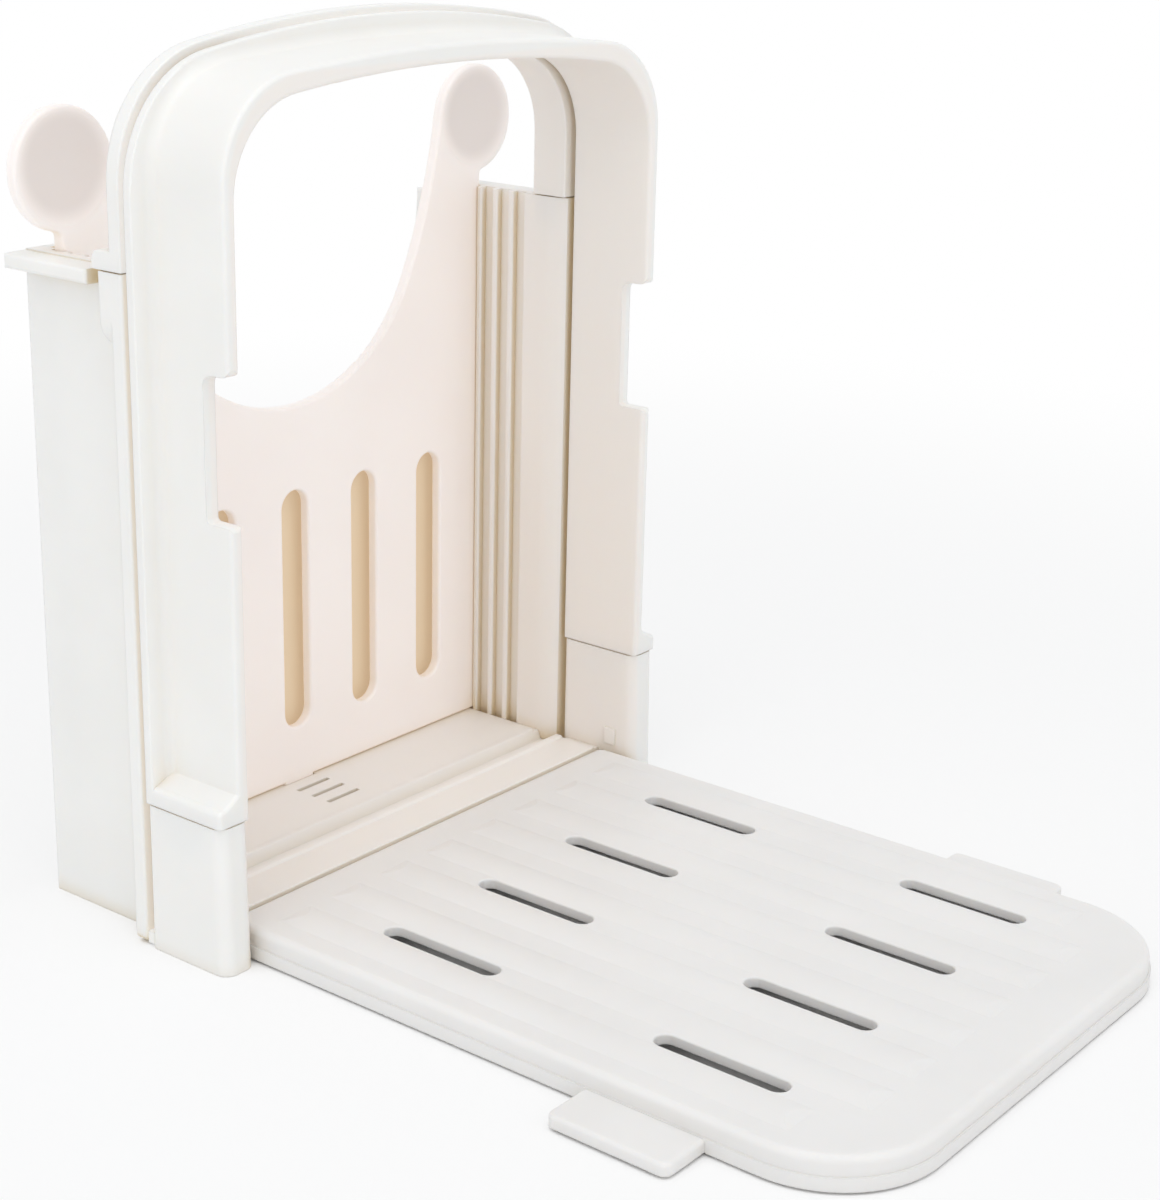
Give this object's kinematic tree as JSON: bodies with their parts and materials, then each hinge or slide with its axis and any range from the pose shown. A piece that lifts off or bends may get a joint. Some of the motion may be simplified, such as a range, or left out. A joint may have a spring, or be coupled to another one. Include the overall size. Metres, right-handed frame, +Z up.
{
  "type": "bread slicer guide",
  "caption": "Folding bread slicer guide: arched knife guide on feet, rear housing with thickness channels, lift-out stop plate and a fold-up slotted bread board.",
  "frame": {"origin": "on the table, mid-width, at the rear face of the front arch and its feet, which is the front side of the knife slot", "axes": "+X to the right, +Y to the rear (stop plate side), +Z up; the bread board reaches towards -Y"},
  "size_m": [0.1548, 0.2124, 0.194],
  "materials": {
    "arch_plastic": "satin moulded plastic",
    "base_plastic": "satin moulded plastic",
    "housing_plastic": "satin moulded plastic",
    "plate_plastic": "satin moulded plastic",
    "board_plastic": "satin moulded plastic",
    "pin_plastic": "satin moulded plastic"
  },
  "bodies": {
    "frame": {"front_arch": "arch_plastic", "rear_arch": "arch_plastic", "left_foot": "base_plastic", "right_foot": "base_plastic", "base_sill": "base_plastic", "floor_tray": "base_plastic", "left_wall": "housing_plastic", "right_wall": "housing_plastic", "back_wall": "housing_plastic"},
    "board": {"bread_board": "board_plastic", "left_hinge_pin": "pin_plastic", "right_hinge_pin": "pin_plastic"},
    "plate": {"stop_plate": "plate_plastic"}
  },
  "joints": [
    {"name": "board_fold", "type": "hinge", "parent": "frame", "child": "board", "pos_m": [0, -0.0156, 0.0041], "axis": [-1, 0, 0], "range_deg": [0, 90]},
    {"name": "plate_lift", "type": "slide", "parent": "frame", "child": "plate", "axis": [0, 0, 1], "range_m": [0, 0.142]}
  ]
}
